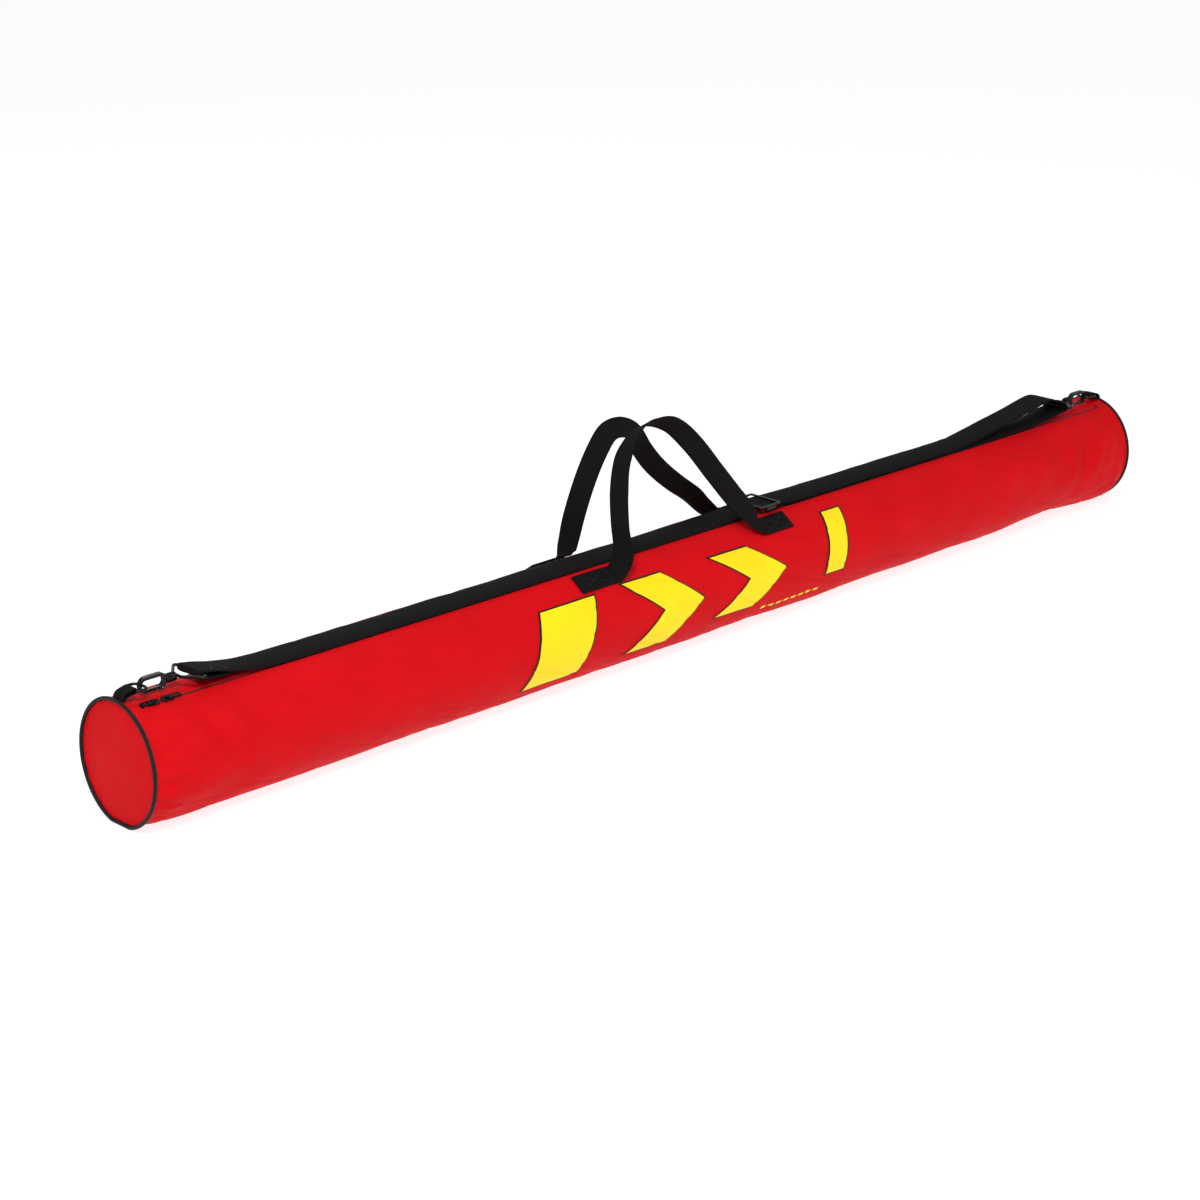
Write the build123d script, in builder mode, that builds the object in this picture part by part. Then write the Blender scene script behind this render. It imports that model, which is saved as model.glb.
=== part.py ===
from build123d import *
from math import atan, cos, degrees, radians, sin, sqrt, tan
import os

# Long round ski bag, millimetres. +X runs along the bag, +Z is up, the floor is Z = 0.
# The origin is on the floor under the middle of the bag.

# --- bag body ---------------------------------------------------------------------------
LENGTH = 2054.4
FABRIC = 1.6
BODY_HALF_WIDTH = 88.3
BODY_HALF_HEIGHT = 85.3
BODY_AXIS_Z = 81.5
END_HALF_WIDTH = 79.0
END_HALF_HEIGHT = 86.0
END_AXIS_Z = 86.0
STRAIGHT_LENGTH = 2000.0
PIPING_WIDTH = 5.5
PIPING_STAND = 2.3
PIPING_INSET = 2.8
PIPING_CORD = 2.6

# --- zip --------------------------------------------------------------------------------
ZIP_Y = -26.0
ZIP_SLOT = 24.0
ZIP_LENGTH = 2010.0
COIL_WIDTH = 1.2
COIL_GAP = 2.6
COIL_STAND = 1.0
SLIDER_LENGTH = 18.0
SLIDER_WIDTH = 11.0
SLIDER_PLATE = 1.4
SLIDER_TOP = 1.4
SLIDER_BOTTOM = -3.6
POST_LENGTH = 7.0
POST_WIDTH = 0.5
BAIL_WIDTH = 2.4
BAIL_HEIGHT = 2.4
BAIL_HOLE = 1.8
RIGHT_SLIDER_X = -962.0
LEFT_SLIDER_X = -984.0
PULL_LENGTH = 20.0
PULL_WIDTH = 7.0
PULL_THICKNESS = 1.2
PULL_PIVOT_HEIGHT = 3.75
STOP_WIDTH = 9.0
STOP_THICKNESS = 3.2
STOP_LENGTH = 4.0

# --- end fittings, given for the left end and mirrored to the right ---------------------
FITTING_Y = -6.0
FITTING_Z = 182.0
RING_BAR_X = -1003.0
RING_FAR_X = -984.5
RING_SPAN = 28.0
RING_WIRE = 3.8
TAB_WIDTH = 22.0
EYE_BAR_X = -908.0
EYE_SPAN = 76.0
EYE_WIRE = 4.4
NECK_X = -931.0
BARREL_START_X = -934.0
BARREL_LENGTH = 16.0
BARREL_DIAMETER = 11.0
STEM_DIAMETER = 5.0
STEM_LENGTH = 12.0
STEM_HEAD_LENGTH = 3.0
STEM_HEAD_RADIUS = 3.5
SOCKET_DEPTH = 8.5
POCKET_LENGTH = 4.5
POCKET_RADIUS = 4.0
HOOK_THICKNESS = 7.0
JAW_LENGTH = 43.0
JAW_HEIGHT = 22.0
JAW_WALL = 4.5
JAW_CENTER_X = -969.5
JAW_MOUTH_X = -961.0
GATE_PIVOT_X = -956.0
GATE_PIVOT_Z = 173.3
GATE_TIP_X = -980.0
GATE_WIDTH = 3.6
GATE_PIN = 2.0

# --- shoulder strap ---------------------------------------------------------------------
STRAP_WIDTH = 54.0
STRAP_Y = -7.0
WEBBING = 2.0
STRAP_LOW_Z = 169.8
STRAP_HIGH_Z = 172.4
STRAP_FOLD = 3.8
STRAP_LEFT_CUT = -800.0
STRAP_RIGHT_CUT = 560.0
SLIDE_CENTER_X = 159.0
SLIDE_LENGTH = 46.0
SLIDE_SPAN = 62.0
SLIDE_RIM = 4.0
SLIDE_PLATE = 2.4

# --- carrying handles -------------------------------------------------------------------
HANDLE_WIDTH = 32.0
HANDLE_AXIS_Y = 58.0
HANDLE_AXIS_Z = 158.0
HANDLE_CLEAR = 12.0
HANDLE_LEAN = 11.5
PATCH_Y = 51.0
LEFT_PATCH_OUT_X = -268.0
LEFT_PATCH_IN_X = -176.0
RIGHT_PATCH_IN_X = 106.0
RIGHT_PATCH_OUT_X = 184.0

HALF = LENGTH / 2
PIPING_INNER_X = HALF - PIPING_WIDTH


def surface_z(y, stand=0.0):
    """Height of the body's upper surface at y, in its straight middle."""
    a = BODY_HALF_WIDTH + stand
    b = BODY_HALF_HEIGHT + stand
    return BODY_AXIS_Z + b * sqrt(1 - (y / a) ** 2)


def surface_tilt(y):
    """Tilt of the surface normal from the vertical at y, in degrees, positive to the front."""
    rise = surface_z(y) - BODY_AXIS_Z
    return degrees(atan(-y / BODY_HALF_WIDTH**2 * BODY_HALF_HEIGHT**2 / rise))


def surface_plane(x, y):
    """Plane that touches the upper surface at x, y, with its X along the bag."""
    tilt = radians(surface_tilt(y))
    return Plane(origin=(x, y, surface_z(y)), x_dir=(1, 0, 0), z_dir=(0, -sin(tilt), cos(tilt)))


def ellipse_at(x, half_width, half_height, axis_z):
    """Sketch of one cross-section of the bag."""
    with BuildSketch(Plane.YZ.offset(x)) as section:
        with Locations((0, axis_z)):
            Ellipse(half_width, half_height)
    return section.sketch


def bag_envelope(inset, floor_z):
    """Solid of the bag's outer shape, shrunk by inset and cut flat at floor_z."""
    width = BODY_HALF_WIDTH - inset
    height = BODY_HALF_HEIGHT - inset
    with BuildPart() as envelope:
        with BuildSketch(Plane.YZ):
            with Locations((0, BODY_AXIS_Z)):
                Ellipse(width, height)
        extrude(amount=STRAIGHT_LENGTH / 2, both=True)
        for side in (-1, 1):
            add(ellipse_at(side * STRAIGHT_LENGTH / 2, width, height, BODY_AXIS_Z))
            add(
                ellipse_at(
                    side * PIPING_INNER_X,
                    END_HALF_WIDTH - inset,
                    END_HALF_HEIGHT - inset,
                    END_AXIS_Z,
                )
            )
            loft(ruled=True)
        split(bisect_by=Plane.XY.offset(floor_z), keep=Keep.TOP)
    return envelope.part


# --- body shell, end panels and piping --------------------------------------------------
with BuildPart() as body_shell:
    add(bag_envelope(0.0, 0.0))
    add(bag_envelope(FABRIC, FABRIC), mode=Mode.SUBTRACT)
    with BuildSketch(Plane.XY.offset(BODY_AXIS_Z)):
        with Locations((0, ZIP_Y)):
            Rectangle(ZIP_LENGTH, ZIP_SLOT)
    extrude(amount=BODY_HALF_HEIGHT * 1.2, mode=Mode.SUBTRACT)

with BuildPart() as left_end_panel:
    with BuildSketch(Plane.YZ.offset(-HALF + (PIPING_WIDTH - FABRIC) / 2)):
        with Locations((0, END_AXIS_Z)):
            Ellipse(END_HALF_WIDTH - PIPING_INSET, END_HALF_HEIGHT - PIPING_INSET)
    extrude(amount=FABRIC)

with BuildPart() as left_piping_cord:
    with BuildSketch(Plane.YZ.offset(-HALF + (PIPING_WIDTH - PIPING_CORD) / 2)):
        with Locations((0, END_AXIS_Z)):
            Ellipse(END_HALF_WIDTH + 0.6, END_HALF_HEIGHT - 0.4)
            Ellipse(
                END_HALF_WIDTH - PIPING_INSET,
                END_HALF_HEIGHT - PIPING_INSET,
                mode=Mode.SUBTRACT,
            )
    extrude(amount=PIPING_CORD)

with BuildPart() as left_piping:
    with BuildSketch(Plane.YZ.offset(-HALF)):
        with Locations((0, END_AXIS_Z)):
            Ellipse(END_HALF_WIDTH + PIPING_STAND, END_HALF_HEIGHT + PIPING_STAND)
            Ellipse(
                END_HALF_WIDTH - PIPING_INSET,
                END_HALF_HEIGHT - PIPING_INSET,
                mode=Mode.SUBTRACT,
            )
    extrude(amount=PIPING_WIDTH)
    outer_rims = edges().filter_by(GeomType.ELLIPSE).sort_by(SortBy.LENGTH)[-2:]
    fillet(outer_rims, 2.0)
    split(bisect_by=Plane.XY, keep=Keep.TOP)
    add(left_piping_cord.part, mode=Mode.SUBTRACT)

with BuildPart() as right_end_panel:
    mirror(left_end_panel.part, about=Plane.YZ)

with BuildPart() as right_piping_cord:
    mirror(left_piping_cord.part, about=Plane.YZ)

with BuildPart() as right_piping:
    mirror(left_piping.part, about=Plane.YZ)


# --- zip tapes and coils ----------------------------------------------------------------
def zip_strip(y_low, y_high, stand, depth):
    """Strip of the body's curved top between two widths, along the whole zip."""
    with BuildPart() as strip:
        with BuildSketch(Plane.YZ):
            with Locations((0, BODY_AXIS_Z)):
                Ellipse(BODY_HALF_WIDTH + stand, BODY_HALF_HEIGHT + stand)
                Ellipse(BODY_HALF_WIDTH - depth, BODY_HALF_HEIGHT - depth, mode=Mode.SUBTRACT)
            with Locations(((y_low + y_high) / 2, BODY_AXIS_Z + BODY_HALF_HEIGHT)):
                Rectangle(y_high - y_low, BODY_HALF_HEIGHT, mode=Mode.INTERSECT)
        extrude(amount=STRAIGHT_LENGTH / 2, both=True)
    return strip.part


ZIP_FRONT_Y = ZIP_Y - ZIP_SLOT / 2
ZIP_BACK_Y = ZIP_Y + ZIP_SLOT / 2
COIL_IN = COIL_GAP / 2
COIL_OUT = COIL_IN + COIL_WIDTH

with BuildPart() as zip_tape_front:
    add(zip_strip(ZIP_FRONT_Y, ZIP_Y - COIL_OUT, -0.2, 1.2))

with BuildPart() as zip_tape_back:
    add(zip_strip(ZIP_Y + COIL_OUT, ZIP_BACK_Y, -0.2, 1.2))

with BuildPart() as zip_coil_front:
    add(zip_strip(ZIP_Y - COIL_OUT, ZIP_Y - COIL_IN, COIL_STAND, 1.2))

with BuildPart() as zip_coil_back:
    add(zip_strip(ZIP_Y + COIL_IN, ZIP_Y + COIL_OUT, COIL_STAND, 1.2))

with BuildPart() as zip_end_stops:
    for side in (-1, 1):
        with BuildSketch(Plane.YZ.offset(side * (STRAIGHT_LENGTH / 2 + 0.2))):
            with Locations((ZIP_Y, surface_z(ZIP_Y))):
                Rectangle(STOP_WIDTH, STOP_THICKNESS, rotation=surface_tilt(ZIP_Y))
        extrude(amount=side * STOP_LENGTH)


# --- zip sliders and pulls --------------------------------------------------------------
def slider_at(x):
    """Two plates joined by a post between the coils, with a bail on top."""
    plane = surface_plane(x, ZIP_Y)
    with BuildPart() as slider:
        for height in (SLIDER_TOP, SLIDER_BOTTOM):
            with BuildSketch(plane.offset(height)):
                RectangleRounded(SLIDER_LENGTH, SLIDER_WIDTH, 4.0)
            extrude(amount=SLIDER_PLATE)
        with BuildSketch(plane.offset(SLIDER_BOTTOM + SLIDER_PLATE / 2)):
            Rectangle(POST_LENGTH, POST_WIDTH)
        extrude(amount=SLIDER_TOP - SLIDER_BOTTOM)
        with BuildSketch(plane.offset(SLIDER_TOP + SLIDER_PLATE)):
            Rectangle(POST_LENGTH, BAIL_WIDTH)
        extrude(amount=BAIL_HEIGHT)
        with BuildSketch(plane.offset(PULL_PIVOT_HEIGHT - BAIL_HOLE / 2)):
            Rectangle(2 * BAIL_HOLE, BAIL_WIDTH)
        extrude(amount=BAIL_HOLE, mode=Mode.SUBTRACT)
    return slider.part


def pull_at(x, side):
    """Flat pull lying along the zip, with a round cross bar in the slider's bail."""
    plane = surface_plane(x, ZIP_Y).offset(PULL_PIVOT_HEIGHT)
    bar_plane = Plane(origin=plane.origin, x_dir=plane.x_dir, z_dir=plane.y_dir)
    reach = PULL_LENGTH - PULL_THICKNESS / 2
    with BuildPart() as pull:
        with BuildSketch(plane.offset(-PULL_THICKNESS / 2)):
            with Locations((side * reach / 2, 0)):
                Rectangle(reach, PULL_WIDTH)
            with Locations((side * 2.2, 0)):
                Rectangle(4.4, BAIL_WIDTH + 1.0, mode=Mode.SUBTRACT)
            with Locations((side * 12.0, 0)):
                SlotOverall(9.0, 3.6, mode=Mode.SUBTRACT)
        extrude(amount=PULL_THICKNESS)
        with BuildSketch(bar_plane):
            Circle(PULL_THICKNESS / 2)
        extrude(amount=PULL_WIDTH / 2, both=True)
    return pull.part


with BuildPart() as zip_slider_right:
    add(slider_at(RIGHT_SLIDER_X))

with BuildPart() as zip_pull_right:
    add(pull_at(RIGHT_SLIDER_X, 1))

with BuildPart() as zip_slider_left:
    add(slider_at(LEFT_SLIDER_X))

with BuildPart() as zip_pull_left:
    add(pull_at(LEFT_SLIDER_X, -1))


# --- end tab and ring -------------------------------------------------------------------
TAB_FOOT = (-1018.5, 176.8)
TAB_HEAD = (RING_BAR_X, FITTING_Z)
FITTING_PLANE = Plane.XZ.offset(-FITTING_Y)


def tab_outline(radius):
    """Rounded outline from the seam to the ring's bar."""
    middle = ((TAB_FOOT[0] + TAB_HEAD[0]) / 2, (TAB_FOOT[1] + TAB_HEAD[1]) / 2)
    run = (TAB_HEAD[0] - TAB_FOOT[0], TAB_HEAD[1] - TAB_FOOT[1])
    reach = sqrt(run[0] ** 2 + run[1] ** 2)
    with BuildSketch(FITTING_PLANE) as outline:
        with Locations(middle):
            SlotCenterToCenter(reach, 2 * radius, rotation=degrees(atan(run[1] / run[0])))
    return outline.sketch


with BuildPart() as left_end_tab:
    extrude(tab_outline(RING_WIRE / 2 + 2.3), amount=TAB_WIDTH / 2, both=True)
    extrude(
        tab_outline(RING_WIRE / 2 + 0.5), amount=TAB_WIDTH, both=True, mode=Mode.SUBTRACT
    )

with BuildPart() as left_d_ring:
    with BuildLine(Plane.XY.offset(FITTING_Z)) as ring_path:
        FilletPolyline(
            (RING_BAR_X, FITTING_Y - RING_SPAN / 2),
            (RING_FAR_X, FITTING_Y - RING_SPAN / 2),
            (RING_FAR_X, FITTING_Y + RING_SPAN / 2),
            (RING_BAR_X, FITTING_Y + RING_SPAN / 2),
            radius=(2.4, 9.0, 9.0, 2.4),
            close=True,
        )
    with BuildSketch(Plane(ring_path.line @ 0, z_dir=ring_path.line % 0)):
        Circle(RING_WIRE / 2)
    sweep(path=ring_path.line)


# --- swivel eye, hook, gate -------------------------------------------------------------
NECK_PLANE = Plane(origin=(NECK_X, FITTING_Y, FITTING_Z), x_dir=(0, 1, 0), z_dir=(-1, 0, 0))

with BuildPart() as left_swivel_eye:
    with BuildLine(Plane.XY.offset(FITTING_Z)) as eye_path:
        FilletPolyline(
            (EYE_BAR_X, FITTING_Y - EYE_SPAN / 2),
            (EYE_BAR_X, FITTING_Y + EYE_SPAN / 2),
            (NECK_X, FITTING_Y + 9.0),
            (NECK_X, FITTING_Y - 9.0),
            radius=3.2,
            close=True,
        )
    with BuildSketch(Plane(eye_path.line @ 0, z_dir=eye_path.line % 0)):
        Circle(EYE_WIRE / 2)
    sweep(path=eye_path.line)
    with BuildSketch(NECK_PLANE):
        Circle(STEM_DIAMETER / 2)
    extrude(amount=STEM_LENGTH)
    with BuildSketch(NECK_PLANE.offset(STEM_LENGTH)):
        Circle(STEM_HEAD_RADIUS)
    extrude(amount=STEM_HEAD_LENGTH)

BARREL_PLANE = Plane(
    origin=(BARREL_START_X, FITTING_Y, FITTING_Z), x_dir=(0, 1, 0), z_dir=(-1, 0, 0)
)

with BuildPart() as left_hook:
    with BuildSketch(FITTING_PLANE):
        with Locations((JAW_CENTER_X, FITTING_Z)):
            SlotOverall(JAW_LENGTH, JAW_HEIGHT)
        with Locations((JAW_CENTER_X - 1.0, FITTING_Z)):
            SlotOverall(
                JAW_LENGTH - 2 * JAW_WALL, JAW_HEIGHT - 2 * JAW_WALL, mode=Mode.SUBTRACT
            )
    extrude(amount=HOOK_THICKNESS / 2, both=True)
    with BuildSketch(BARREL_PLANE):
        Circle(BARREL_DIAMETER / 2)
    extrude(amount=BARREL_LENGTH)
    with BuildSketch(BARREL_PLANE):
        Circle(STEM_DIAMETER / 2 + 0.08)
    extrude(amount=SOCKET_DEPTH, mode=Mode.SUBTRACT)
    with BuildSketch(BARREL_PLANE.offset(SOCKET_DEPTH)):
        Circle(POCKET_RADIUS)
    extrude(amount=POCKET_LENGTH, mode=Mode.SUBTRACT)
    with BuildSketch(FITTING_PLANE):
        with Locations(((GATE_TIP_X - 0.5 + JAW_MOUTH_X) / 2, FITTING_Z - JAW_HEIGHT / 2)):
            Rectangle(JAW_MOUTH_X - GATE_TIP_X + 0.5, 10.0)
    extrude(amount=HOOK_THICKNESS, both=True, mode=Mode.SUBTRACT)
    with BuildSketch(FITTING_PLANE):
        with Locations((GATE_PIVOT_X, FITTING_Z - JAW_HEIGHT / 2 + 1.5)):
            Rectangle(12.0, 8.0)
    extrude(amount=2.6, both=True, mode=Mode.SUBTRACT)
    with BuildSketch(FITTING_PLANE):
        with Locations((GATE_PIVOT_X, GATE_PIVOT_Z)):
            Circle(GATE_PIN / 2)
    extrude(amount=HOOK_THICKNESS, both=True, mode=Mode.SUBTRACT)

with BuildPart() as left_gate:
    with BuildSketch(FITTING_PLANE.offset(0.5)):
        with Locations(((GATE_TIP_X + GATE_PIVOT_X + 2.2) / 2, GATE_PIVOT_Z)):
            RectangleRounded(GATE_PIVOT_X + 2.2 - GATE_TIP_X, 3.8, 1.2)
        with Locations((GATE_PIVOT_X, GATE_PIVOT_Z)):
            Circle(GATE_PIN / 2 + 0.06, mode=Mode.SUBTRACT)
    extrude(amount=GATE_WIDTH / 2, both=True)

with BuildPart() as left_gate_pin:
    with BuildSketch(FITTING_PLANE):
        with Locations((GATE_PIVOT_X, GATE_PIVOT_Z)):
            Circle(GATE_PIN / 2)
    extrude(amount=HOOK_THICKNESS / 2, both=True)

with BuildPart() as left_gate_spring:
    with BuildSketch(FITTING_PLANE.offset(-1.5)):
        with Locations((GATE_PIVOT_X, GATE_PIVOT_Z)):
            Circle(1.8)
            Circle(GATE_PIN / 2, mode=Mode.SUBTRACT)
    extrude(amount=-1.0)

with BuildPart() as right_end_tab:
    mirror(left_end_tab.part, about=Plane.YZ)

with BuildPart() as right_d_ring:
    mirror(left_d_ring.part, about=Plane.YZ)

with BuildPart() as right_swivel_eye:
    mirror(left_swivel_eye.part, about=Plane.YZ)

with BuildPart() as right_hook:
    mirror(left_hook.part, about=Plane.YZ)

with BuildPart() as right_gate:
    mirror(left_gate.part, about=Plane.YZ)

with BuildPart() as right_gate_pin:
    mirror(left_gate_pin.part, about=Plane.YZ)

with BuildPart() as right_gate_spring:
    mirror(left_gate_spring.part, about=Plane.YZ)

# --- shoulder strap and its length slide ------------------------------------------------
FOLD_LOW = FITTING_Z - STRAP_FOLD
FOLD_HIGH = FITTING_Z + STRAP_FOLD
FOLD_X = -EYE_BAR_X + STRAP_FOLD

# One webbing: folded and sewn round the left eye, along the top of the bag, through the
# slide, over a hump to the right eye, round it and back underneath to the slide's bar.
with BuildPart() as whole_strap:
    with BuildSketch(Plane.XZ.offset(-STRAP_Y)):
        with BuildLine() as strap_route:
            FilletPolyline(
                (-866, 175.0),
                (-FOLD_X, FOLD_LOW),
                (-FOLD_X, FOLD_HIGH),
                (-868, 180.5),
                (-832, STRAP_LOW_Z),
                (-300, STRAP_LOW_Z),
                (-150, STRAP_HIGH_Z),
                (600, STRAP_HIGH_Z),
                (790, 200.0),
                (850, 203.0),
                (FOLD_X, FOLD_HIGH),
                (FOLD_X, FOLD_LOW),
                (850, 188.0),
                (790, 188.0),
                (640, STRAP_LOW_Z),
                (SLIDE_CENTER_X + 6.0, STRAP_LOW_Z),
                radius=(3.6, 3.6, 30, 60, 300, 300, 150, 60, 60, 3.6, 3.6, 60, 80, 150),
            )
            offset(strap_route.line, amount=WEBBING / 2, mode=Mode.REPLACE)
        make_face()
    extrude(amount=STRAP_WIDTH / 2, both=True)

with BuildPart() as shoulder_strap_left:
    add(whole_strap.part)
    split(bisect_by=Plane.YZ.offset(STRAP_LEFT_CUT), keep=Keep.BOTTOM)

with BuildPart() as shoulder_strap_middle:
    add(whole_strap.part)
    split(bisect_by=Plane.YZ.offset(STRAP_LEFT_CUT), keep=Keep.TOP)
    split(bisect_by=Plane.YZ.offset(STRAP_RIGHT_CUT), keep=Keep.BOTTOM)

with BuildPart() as shoulder_strap_right:
    add(whole_strap.part)
    split(bisect_by=Plane.YZ.offset(STRAP_RIGHT_CUT), keep=Keep.TOP)

SLIDE_LOW_Z = STRAP_LOW_Z - WEBBING / 2
SLIDE_TOP_Z = STRAP_HIGH_Z + WEBBING / 2 + 0.4

with BuildPart() as strap_slide:
    with BuildSketch(Plane.XY.offset(SLIDE_TOP_Z)):
        with Locations((SLIDE_CENTER_X, STRAP_Y)):
            RectangleRounded(SLIDE_LENGTH, SLIDE_SPAN, 4.0)
            Rectangle(SLIDE_LENGTH - 2 * SLIDE_RIM, SLIDE_SPAN - 6.0, mode=Mode.SUBTRACT)
    extrude(amount=SLIDE_PLATE)
    with BuildSketch(Plane.XY.offset(SLIDE_LOW_Z)):
        with Locations((SLIDE_CENTER_X, STRAP_Y)):
            with GridLocations(0, SLIDE_SPAN - 3.0, 1, 2):
                Rectangle(18.0, 3.0)
    extrude(amount=SLIDE_TOP_Z - SLIDE_LOW_Z)

with BuildPart() as strap_slide_bar:
    with BuildSketch(Plane.XY.offset(SLIDE_LOW_Z)):
        with Locations((SLIDE_CENTER_X - 1.0, STRAP_Y)):
            Rectangle(8.0, SLIDE_SPAN - 6.0)
    extrude(amount=WEBBING)


# --- carrying handles -------------------------------------------------------------------
def sewn_end(x_out, x_in, side):
    """Webbing end sewn flat on the body, turning up into a short stub at x_in."""
    middle = (x_out + x_in) / 2
    stub_top = HANDLE_AXIS_Z + HANDLE_CLEAR - 6.0
    lean = radians(HANDLE_LEAN)
    stub_y = HANDLE_AXIS_Y - 9.0 * tan(lean)
    with BuildPart() as sewn:
        with BuildSketch(surface_plane(middle, side * PATCH_Y).offset(0.2)):
            Rectangle(abs(x_in - x_out), HANDLE_WIDTH)
        extrude(amount=WEBBING)
        with BuildSketch(Plane.XY.offset(surface_z(PATCH_Y) - 2.0)):
            with Locations((x_in, side * stub_y)):
                Rectangle(WEBBING, HANDLE_WIDTH - 14.0)
        extrude(amount=stub_top - surface_z(PATCH_Y) + 2.0)
        add(bag_envelope(-0.2, 0.0), mode=Mode.SUBTRACT)
    return sewn.part


def handle_loop(route, radii, side):
    """Webbing loop standing over the bag, leaning in towards the middle."""
    with BuildPart() as loop:
        with BuildSketch(Plane.XZ.offset(-side * HANDLE_AXIS_Y)):
            with BuildLine() as centre:
                FilletPolyline(*route, radius=radii)
                offset(centre.line, amount=WEBBING / 2, mode=Mode.REPLACE)
            make_face()
        extrude(amount=HANDLE_WIDTH / 2, both=True)
    hinge = Axis((0, side * HANDLE_AXIS_Y, HANDLE_AXIS_Z), (1, 0, 0))
    return loop.part.rotate(hinge, side * HANDLE_LEAN)


LOOP_FOOT_Z = HANDLE_AXIS_Z + HANDLE_CLEAR
FRONT_ROUTE = (
    (LEFT_PATCH_IN_X, LOOP_FOOT_Z),
    (-182, 300),
    (-158, 356),
    (-100, 372),
    (-40, 342),
    (30, 258),
    (RIGHT_PATCH_IN_X, LOOP_FOOT_Z),
)
BACK_ROUTE = (
    (LEFT_PATCH_IN_X, LOOP_FOOT_Z),
    (-168, 240),
    (-118, 350),
    (-72, 364),
    (-30, 312),
    (20, 248),
    (RIGHT_PATCH_IN_X, LOOP_FOOT_Z),
)

with BuildPart() as front_handle_left_end:
    add(sewn_end(LEFT_PATCH_OUT_X, LEFT_PATCH_IN_X, -1))

with BuildPart() as front_handle_right_end:
    add(sewn_end(RIGHT_PATCH_OUT_X, RIGHT_PATCH_IN_X, -1))

with BuildPart() as front_handle_loop:
    add(handle_loop(FRONT_ROUTE, (60, 22, 40, 60, 120), -1))

with BuildPart() as back_handle_left_end:
    add(sewn_end(LEFT_PATCH_OUT_X, LEFT_PATCH_IN_X, 1))

with BuildPart() as back_handle_right_end:
    add(sewn_end(RIGHT_PATCH_OUT_X, RIGHT_PATCH_IN_X, 1))

with BuildPart() as back_handle_loop:
    add(handle_loop(BACK_ROUTE, (60, 22, 30, 60, 120), 1))

# --- one file for each piece ------------------------------------------------------------
PIECES = {
    "body_shell": body_shell,
    "left_end_panel": left_end_panel,
    "right_end_panel": right_end_panel,
    "left_piping": left_piping,
    "right_piping": right_piping,
    "left_piping_cord": left_piping_cord,
    "right_piping_cord": right_piping_cord,
    "zip_tape_front": zip_tape_front,
    "zip_tape_back": zip_tape_back,
    "zip_coil_front": zip_coil_front,
    "zip_coil_back": zip_coil_back,
    "zip_end_stops": zip_end_stops,
    "zip_slider_left": zip_slider_left,
    "zip_slider_right": zip_slider_right,
    "zip_pull_left": zip_pull_left,
    "zip_pull_right": zip_pull_right,
    "left_end_tab": left_end_tab,
    "right_end_tab": right_end_tab,
    "left_d_ring": left_d_ring,
    "right_d_ring": right_d_ring,
    "left_swivel_eye": left_swivel_eye,
    "right_swivel_eye": right_swivel_eye,
    "left_hook": left_hook,
    "right_hook": right_hook,
    "left_gate": left_gate,
    "right_gate": right_gate,
    "left_gate_pin": left_gate_pin,
    "right_gate_pin": right_gate_pin,
    "left_gate_spring": left_gate_spring,
    "right_gate_spring": right_gate_spring,
    "shoulder_strap_left": shoulder_strap_left,
    "shoulder_strap_middle": shoulder_strap_middle,
    "shoulder_strap_right": shoulder_strap_right,
    "strap_slide": strap_slide,
    "strap_slide_bar": strap_slide_bar,
    "front_handle_left_end": front_handle_left_end,
    "front_handle_right_end": front_handle_right_end,
    "front_handle_loop": front_handle_loop,
    "back_handle_left_end": back_handle_left_end,
    "back_handle_right_end": back_handle_right_end,
    "back_handle_loop": back_handle_loop,
}

os.makedirs("parts", exist_ok=True)
for label, piece in PIECES.items():
    piece.part.label = label
    export_step(piece.part, f"parts/{label}.step")
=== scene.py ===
"""Ski bag: red fabric tube with piped ends, a black zip, webbing handles and a clip-on strap."""
from math import asin, cos, exp, pi, radians, sin, sqrt

import bmesh
import bpy
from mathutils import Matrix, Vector, noise


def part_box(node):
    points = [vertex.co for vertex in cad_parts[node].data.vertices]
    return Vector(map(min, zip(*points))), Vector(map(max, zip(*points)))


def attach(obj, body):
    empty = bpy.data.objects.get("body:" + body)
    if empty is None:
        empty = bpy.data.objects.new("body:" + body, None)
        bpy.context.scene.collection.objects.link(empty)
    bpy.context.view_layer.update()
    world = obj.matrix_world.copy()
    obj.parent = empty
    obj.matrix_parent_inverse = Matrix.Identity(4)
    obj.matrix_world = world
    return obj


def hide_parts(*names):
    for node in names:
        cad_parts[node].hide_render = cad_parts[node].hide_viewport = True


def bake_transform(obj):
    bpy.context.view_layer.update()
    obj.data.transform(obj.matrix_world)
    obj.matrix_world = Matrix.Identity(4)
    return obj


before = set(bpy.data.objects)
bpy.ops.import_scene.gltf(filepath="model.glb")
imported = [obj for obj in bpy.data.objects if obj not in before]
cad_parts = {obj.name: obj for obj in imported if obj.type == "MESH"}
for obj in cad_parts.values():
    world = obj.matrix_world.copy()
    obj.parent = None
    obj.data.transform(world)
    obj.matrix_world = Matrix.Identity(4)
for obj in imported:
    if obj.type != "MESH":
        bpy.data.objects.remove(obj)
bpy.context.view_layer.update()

# --- camera -----------------------------------------------------------------------------
CAMERA_PLACE = Vector((-2.967, -2.834, 1.486))
CAMERA_HEADING = radians(44.64)
CAMERA_DROP = radians(19.26)
CAMERA_LENS = 86.8
SENSOR_WIDTH = 36.0

camera_data = bpy.data.cameras.new("camera")
camera_data.sensor_width = SENSOR_WIDTH
camera_data.lens = CAMERA_LENS
camera = bpy.data.objects.new("camera", camera_data)
bpy.context.scene.collection.objects.link(camera)
camera.location = CAMERA_PLACE
camera.rotation_euler = (pi / 2 - CAMERA_DROP, 0, -CAMERA_HEADING)
bpy.context.scene.camera = camera

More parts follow.
